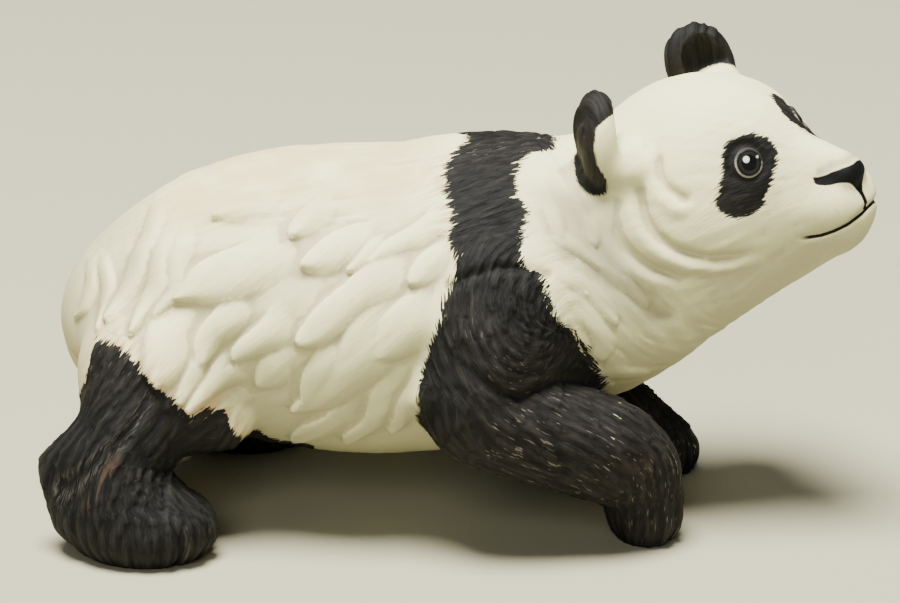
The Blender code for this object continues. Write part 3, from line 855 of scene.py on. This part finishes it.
def storeMaps(mesh):
    # everything the paint reads at the points, all from the same few places and distances
    points, normals = pointsOf(mesh), normalsOf(mesh)
    s, t = unrolled(points)
    x, y, z = inHead(points)
    right = points[:, 1] < 0
    coat, ragged = coatOf(points)
    stored(mesh, "coat", coat)
    stored(mesh, "ragged", ragged)

    # tints: ochre on the back, peach along the coat's edges, rust on the ankle and the wrist
    edgeGap = np.abs(s - np.interp(t, *zip(*paint["bandBack"])))
    peach = 0.8 * bump(edgeGap, 4.0) * smooth(4, 12, t) * smooth(40, 30, t) * (s < 8)
    peach = np.maximum(peach, bump(np.minimum(coat, 0), 5.0) * (s < -44) * (t > 40))
    ochre = smooth(32, 18, t) * smooth(-74, -56, s) * smooth(4, -14, s)
    ankle = bump(pathRun(points, paint["ankle"])[0], 1.1)
    wrist = bump(pathRun(points, paint["wrist"])[0], 2.6)
    stored(mesh, "tint", np.stack([ochre, peach, np.maximum(ankle, 0.4 * wrist)], axis=1))

    # painted shade: darker under the body, on the rump, behind the cheek and over the nose
    under = smooth(0.15, -0.6, normals[:, 2])
    behind = 0.75 * smooth(-0.15, -0.85, normals[:, 0]) * smooth(-52, -70, s)
    cheek = bump(nearLine(s + 1.5, t, creases["neck"][0]), 7.5) * right * smooth(14, 22, t)
    nose = noseOf(points)
    overNose = bump(nose + 1.1, 0.8) * (z > -3.0) * (np.abs(y + paint["noseTurn"]) < 5) * (x > 31)
    stored(mesh, "paintedShade", np.maximum.reduce([under, behind, cheek, 0.9 * overNose]))

    # hollows of every size, and the pale strokes along the hock and beside the near hind toes
    relief = carving(points)
    stored(mesh, "hollow", hollowness(mesh, points))
    stored(mesh, "recess", evened(mesh, relief, 14) - relief)
    fold = bump(nearLine(s, t, creases["hock"][0]) - 0.8, 0.42) * right
    onToes, gaps = toesOf(points, fur["feet"][0])
    onToes = onToes * smooth(12, 9, points[:, 2]) * smooth(1.0, 3.0, points[:, 2])
    for gap in gaps:
        fold = np.maximum(fold, 0.8 * onToes * bump(gap - 1.3, 0.4))
    stored(mesh, "fold", fold)
    stored(mesh, "eyeSpot", eyeSpotOf(points))
    stored(mesh, "face", np.stack([nose, *mouthOf(points)], axis=1))
    combed(mesh, points)


storeMaps(skin)
print("paint maps stored")


# The paint itself: colours in linear light
glaze = {
    "cream": (0.88, 0.85, 0.49),
    "creamShade": (0.55, 0.50, 0.30),
    # painted shade under the body, on the rump, behind the cheek and over the nose
    "paintedShade": (0.33, 0.305, 0.19),
    "ochre": (0.74, 0.66, 0.33),
    "peach": (0.58, 0.39, 0.21),
    "black": (0.005, 0.0052, 0.0053),
    "brown": (0.0095, 0.0085, 0.0079),
    "scratch": (0.24, 0.22, 0.19),
    "rust": (0.075, 0.046, 0.032),
    "eyeRing": (0.24, 0.24, 0.19),
    "eyeDark": (0.006, 0.006, 0.007),
    # painted highlights in the eyes
    "highlightWhite": (0.85, 0.88, 0.86),
    "noseBlack": (0.0045, 0.0045, 0.0055),
    # painted shade in the creases of the black coat
    "creaseShade": (0.008, 0.008, 0.008),
    "paleRough": 0.62,
    "darkRough": 0.66,
    "sheen": 0.14,
    "bumpDepth": 0.001,     # metres
    "highlight": (-0.4, 0.95),   # the painted highlight in the eye, and a small second one, to the side and up in mm
    "smallHighlight": (2.2, 0.6),
}


def paintedBisque():
    # cream, tints and painted shade under a black coat with a ragged edge, then the eyes with their painted
    # highlights, the nose and the mouth
    material = bpy.data.materials.new("paintedBisque")
    material.use_nodes = True
    tree = material.node_tree
    nodes, links = tree.nodes, tree.links
    shader = nodes["Principled BSDF"]

    def put(socket, value):
        if isinstance(value, bpy.types.NodeSocket):
            links.new(value, socket)
        elif isinstance(value, tuple) and len(value) == 3 and socket.type == "RGBA":
            socket.default_value = (*value, 1)
        else:
            socket.default_value = value

    def maths(how, a, b=0.5):
        node = nodes.new("ShaderNodeMath")
        node.operation = how
        for socket, value in zip(node.inputs, (a, b)):
            put(socket, value)
        return node.outputs[0]

    def times(value, *others):
        for other in others:
            value = maths("MULTIPLY", value, other)
        return value

    def apart(a, b):
        # sqrt(a^2 + b^2)
        return maths("SQRT", maths("ADD", times(a, a), times(b, b)))

    def swing(value, most):
        # noise of 0 to 1 as so much to either side of nothing
        return times(maths("SUBTRACT", value, 0.5), most)

    def ramp(value, low, high, first=0.0, last=1.0):
        node = nodes.new("ShaderNodeMapRange")
        node.interpolation_type = "SMOOTHSTEP"
        for socket, given in zip(node.inputs, (value, low, high, first, last)):
            put(socket, given)
        return node.outputs[0]

    def mixed(share, a, b):
        node = nodes.new("ShaderNodeMix")
        node.data_type = "RGBA"
        put(node.inputs[0], share)
        put(node.inputs[6], a)
        put(node.inputs[7], b)
        return node.outputs[2]

    def read(name, parts=False):
        node = nodes.new("ShaderNodeAttribute")
        node.attribute_name = name
        if not parts:
            return node.outputs["Fac"]
        split = nodes.new("ShaderNodeSeparateXYZ")
        links.new(node.outputs["Vector"], split.inputs[0])
        return split.outputs

    comb = nodes.new("ShaderNodeUVMap")
    comb.uv_map = "combed"
    place = nodes.new("ShaderNodeTexCoord").outputs["Object"]

    def grain(along, across, detail=2.0, rough=0.5, source=None, kind="2D"):
        # noise stretched along the fur: so many waves in a mm each way
        scaled = nodes.new("ShaderNodeMapping")
        scaled.inputs["Scale"].default_value = (along, across, across)
        links.new(source or comb.outputs[0], scaled.inputs["Vector"])
        noise = nodes.new("ShaderNodeTexNoise")
        noise.noise_dimensions = kind
        put(noise.inputs["Scale"], 1.0)
        put(noise.inputs["Detail"], detail)
        put(noise.inputs["Roughness"], rough)
        links.new(scaled.outputs[0], noise.inputs["Vector"])
        return noise.outputs[0]

    bold = grain(0.16, 0.9, 2.0)
    fine = grain(0.30, 3.0, 2.0, 0.6)
    scratchy = grain(0.30, 2.1, 1.0, 0.4)
    patchy = grain(90, 90, 2.0, 0.5, place, "3D")
    clouds = grain(28, 28, 1.0, 0.5, place, "3D")
    coatGap, raggedness = read("coat"), read("ragged")
    ochre, peach, rust = read("tint", True)
    hollow, paintedShade, fold, recess = read("hollow"), read("paintedShade"), read("fold"), read("recess")
    sideways, upward, outward = read("eyeSpot", True)
    nose, mouth, mouthShown = read("face", True)

    # the coat's edge, pulled into points by the strands
    hairs = times(swing(fine, 4.6), maths("SQRT", raggedness))
    edge = maths("ADD", coatGap, maths("ADD", times(swing(bold, 3.6), raggedness), hairs))
    black = ramp(edge, -0.22, 0.22)

    # pale bisque: a warm painted shade in the hollows and at the foot of the locks, a darker painted shade
    # under the body, tinted on the back and along the edges
    pale = mixed(times(ramp(hollow, 0.004, 0.05), 0.9), glaze["cream"], glaze["creamShade"])
    pale = mixed(times(ramp(recess, 0.02, 0.40), 0.8), pale, glaze["creamShade"])
    # painted shade under and behind the body, behind the cheek and over the nose
    pale = mixed(times(paintedShade, 0.85), pale, glaze["paintedShade"])
    pale = mixed(times(ochre, ramp(patchy, 0.2, 0.6)), pale, glaze["ochre"])
    pale = mixed(times(peach, ramp(bold, 0.38, 0.62), 0.9), pale, glaze["peach"])
    pale = mixed(times(ramp(fine, 0.58, 0.8), 0.3), pale, glaze["creamShade"])

    # black coat: charcoal and brown, dry-brushed ridges, thin pale scratches, rust at the joints, and painted
    # shade in the creases
    ink = mixed(ramp(clouds, 0.42, 0.62), glaze["black"], glaze["brown"])
    ink = mixed(times(ramp(fine, 0.52, 0.78), 0.04), ink, glaze["scratch"])
    ink = mixed(times(ramp(hollow, 0.0, -0.05), 0.03), ink, glaze["scratch"])
    ink = mixed(times(ramp(bold, 0.48, 0.72), 0.035), ink, glaze["scratch"])
    marks = times(ramp(scratchy, 0.70, 0.77), ramp(clouds, 0.54, 0.66), ramp(raggedness, 0.25, 0.6))
    marks = maths("MAXIMUM", marks, times(fold, 0.42, ramp(fine, 0.45, 0.62)))
    ink = mixed(times(marks, 0.5), ink, glaze["scratch"])
    ink = mixed(times(rust, ramp(bold, 0.42, 0.6), 0.85), ink, glaze["rust"])
    # painted shade: darker in the creases
    ink = mixed(times(ramp(hollow, 0.0, 0.06), 0.7), ink, glaze["creaseShade"])
    colour = mixed(black, pale, ink)

    # eye: a pale ring, weaker low down, a dark middle and two painted highlights
    far = apart(sideways, upward)
    onEye = ramp(outward, -4.0, -3.0)
    down = maths("ADD", maths("ADD", times(sideways, 0.6), times(upward, 0.8)), times(fine, 5.0))
    ring = times(ramp(far, 3.35, 3.15), ramp(far, 2.75, 2.95), onEye, ramp(down, 1.2, 3.8, 1.0, 0.1))
    middle = times(ramp(far, 2.7, 2.5), onEye)
    iris = times(ramp(far, 2.5, 2.3), ramp(far, 1.6, 1.9), onEye)
    highlight, smallHighlight = (
        apart(maths("SUBTRACT", sideways, aside), maths("SUBTRACT", upward, above))
        for aside, above in (glaze["highlight"], glaze["smallHighlight"])
    )
    # painted highlights in the eye
    lights = times(ramp(smallHighlight, 0.42, 0.2), onEye, 0.6)
    lights = maths("MAXIMUM", times(ramp(highlight, 0.85, 0.6), onEye), lights)
    colour = mixed(ring, colour, glaze["eyeRing"])
    colour = mixed(middle, colour, glaze["eyeDark"])
    colour = mixed(times(iris, 0.05), colour, glaze["eyeRing"])
    colour = mixed(lights, colour, glaze["highlightWhite"])

    # nose pad and mouth line
    line = times(ramp(maths("ABSOLUTE", mouth), 0.5, 0.28), mouthShown)
    line = maths("MAXIMUM", line, ramp(nose, -0.12, 0.12))
    put(shader.inputs["Base Color"], mixed(line, colour, glaze["noseBlack"]))

    # duller where the coat is black, glossier on the scratches and the eyes
    rough = ramp(black, 0, 1, glaze["paleRough"], glaze["darkRough"])
    rough = maths("SUBTRACT", rough, times(marks, black, 0.12))
    rough = maths("ADD", rough, swing(patchy, 0.12))
    rough = maths("SUBTRACT", rough, times(ramp(far, 3.0, 2.6), onEye, 0.42))
    put(shader.inputs["Roughness"], rough)
    put(shader.inputs["IOR"], 1.45)
    put(shader.inputs["Specular IOR Level"], glaze["sheen"])

    # bump: brushed hair, and the grain of the bisque
    height = maths("ADD", times(fine, 0.14), times(bold, 0.16))
    height = times(height, ramp(black, 0, 1, 0.4, 1.0))
    height = maths("ADD", height, times(grain(900, 900, 2.0, 0.5, place, "3D"), 0.015))
    bumps = nodes.new("ShaderNodeBump")
    put(bumps.inputs["Distance"], glaze["bumpDepth"])
    put(bumps.inputs["Strength"], 1.0)
    put(bumps.inputs["Height"], height)
    links.new(bumps.outputs[0], shader.inputs["Normal"])
    return material


skin.name = "pandaSkin"
skin.polygons.foreach_set("use_smooth", np.ones(len(skin.polygons), bool))
placed(skin, (pointsOf(skin) - (*body["middle"], 0)) * 0.001)
skin.materials.clear()
skin.materials.append(paintedBisque())
panda = bpy.data.objects.new("panda", skin)
bpy.context.scene.collection.objects.link(panda)
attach(panda, "root")
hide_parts("panda_figurine")
print("panda painted")

# The studio: a pale floor, a large soft light overhead, a weak one in front, and the photograph's angle
studio = {
    "floorSize": 6.0,
    "floorColour": (0.405, 0.392, 0.28),
    "target": (-0.0015, 0.0008, 0.0465),
    "distance": 0.700,
    "elevation": 17.0,
    "viewWidth": 0.2034,     # what the picture spans at the target, in metres
    "sensor": 36,
    # name, place, size, watts and colour
    "lights": [
        ("key", (-0.25, -0.25, 2.2), 1.1, 195.0, (1.0, 0.985, 0.92)),
        ("front", (-0.5, -2.3, 1.3), 1.2, 24.0, (1.0, 0.985, 0.92)),
    ],
    "lit": (0, 0, 0.04),
    "sky": (0.74, 0.85, 1.0),
    "skyStrength": 0.075,
}


def makeFloor():
    # a flat square, (u - 1/2, v - 1/2) times its size
    u, v = np.array([(0, 0), (1, 0), (1, 1), (0, 1)]).T - 0.5
    mesh = meshOf("floor", np.stack([u, v, 0 * u], axis=1) * studio["floorSize"], [(0, 1, 2, 3)])
    paper = bpy.data.materials.new("palePaper")
    paper.use_nodes = True
    shader = paper.node_tree.nodes["Principled BSDF"]
    shader.inputs["Base Color"].default_value = (*studio["floorColour"], 1)
    shader.inputs["Roughness"].default_value = 0.9
    shader.inputs["Specular IOR Level"].default_value = 0.1
    mesh.materials.append(paper)
    floor = bpy.data.objects.new("floor", mesh)
    bpy.context.scene.collection.objects.link(floor)


def makeLights():
    # round soft lights that face the figure, and an even sky
    for name, place, size, power, colour in studio["lights"]:
        lamp = bpy.data.lights.new(name, "AREA")
        lamp.shape, lamp.size, lamp.energy, lamp.color = "DISK", size, power, colour
        thing = bpy.data.objects.new(name, lamp)
        thing.location = place
        towards = Vector(studio["lit"]) - Vector(place)
        thing.rotation_euler = towards.to_track_quat("-Z", "Y").to_euler()
        bpy.context.scene.collection.objects.link(thing)
    world = bpy.data.worlds.new("sky")
    world.use_nodes = True
    world.node_tree.nodes["Background"].inputs[0].default_value = (*studio["sky"], 1)
    world.node_tree.nodes["Background"].inputs[1].default_value = studio["skyStrength"]
    bpy.context.scene.world = world


def makeCamera():
    # square to the figure's side and tipped down; lens = sensor * distance / width of the view
    a = math.radians(studio["elevation"])
    target = Vector(studio["target"])
    camera = bpy.data.objects.new("camera", bpy.data.cameras.new("camera"))
    camera.location = target + Vector((0, -math.cos(a), math.sin(a))) * studio["distance"]
    camera.rotation_euler = (target - camera.location).to_track_quat("-Z", "Y").to_euler()
    camera.data.lens = studio["sensor"] * studio["distance"] / studio["viewWidth"]
    camera.data.sensor_width = studio["sensor"]
    camera.data.clip_start = 0.01
    bpy.context.scene.collection.objects.link(camera)
    bpy.context.scene.camera = camera


makeFloor()
makeLights()
makeCamera()
print("studio set")

import json
